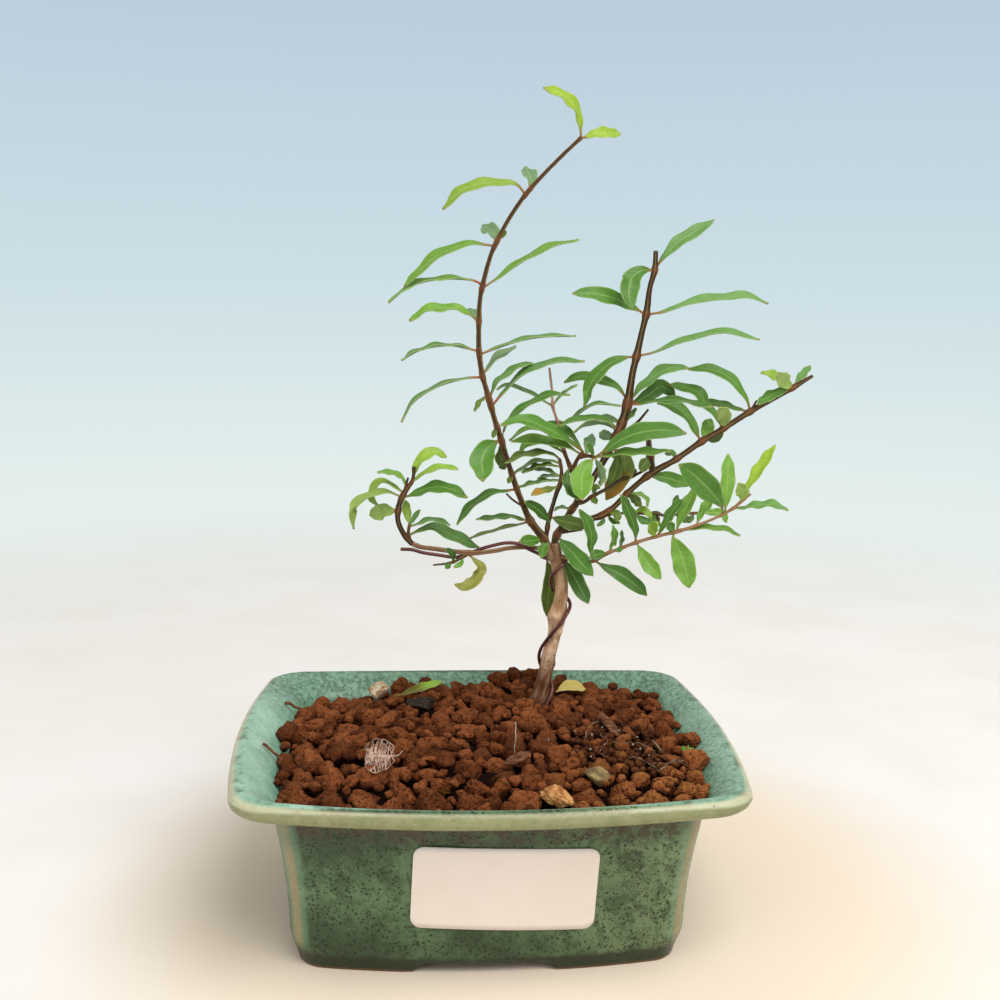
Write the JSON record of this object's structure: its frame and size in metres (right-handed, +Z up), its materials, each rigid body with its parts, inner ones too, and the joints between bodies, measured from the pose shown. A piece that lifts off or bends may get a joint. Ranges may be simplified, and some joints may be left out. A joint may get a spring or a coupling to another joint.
{
  "type": "potted bonsai tree",
  "caption": "Young pomegranate bonsai with a wired side branch and long leafy shoots, in a glazed rectangular pot of coarse granular soil with a blank label on its front.",
  "frame": {"origin": "middle of the whole object's footprint, on the surface the pot's feet stand on", "axes": "+Z up, front face of the pot with its label towards -Y, the long right branch towards +X"},
  "size_m": [0.1848, 0.1244, 0.2472],
  "materials": {
    "glaze": "satin sea-green glaze with dark speckles",
    "label": "matt white",
    "drain_mesh": "matt dark green",
    "soil": "porous red-brown granules",
    "bark": "smooth tan bark",
    "wire": "brown anodised",
    "leafy_stem": "soft gloss green leaves on brown wood",
    "pale_stone": "matt",
    "dark_stone": "matt",
    "olive_stone": "matt",
    "tan_stone": "matt porous",
    "dead_wood": "dry and matt",
    "green_fallen_leaf": "soft green",
    "yellow_fallen_leaf": "pale yellow-green",
    "skeleton_leaf": "dry grey net of veins",
    "moss": "matt"
  },
  "bodies": {
    "root": {"pot": "glaze", "label": "label", "drain_mesh_left": "drain_mesh", "drain_mesh_right": "drain_mesh", "soil": "soil", "trunk": "bark", "training_wire": "wire", "left_branch": "leafy_stem", "tall_shoot": "leafy_stem", "crown_spray": "leafy_stem", "inner_shoot": "leafy_stem", "right_branch": "leafy_stem", "upright_shoot": "leafy_stem", "lower_twig": "leafy_stem", "pale_stone": "pale_stone", "dark_stone": "dark_stone", "olive_pebble": "olive_stone", "tan_granule": "tan_stone", "bark_chip_back": "dead_wood", "bark_chip_front": "dead_wood", "dead_twig_back": "dead_wood", "dead_twig_left": "dead_wood", "fallen_leaf_green": "green_fallen_leaf", "fallen_leaf_yellow": "yellow_fallen_leaf", "skeleton_leaf": "skeleton_leaf", "moss_sprig": "moss"}
  },
  "joints": []
}
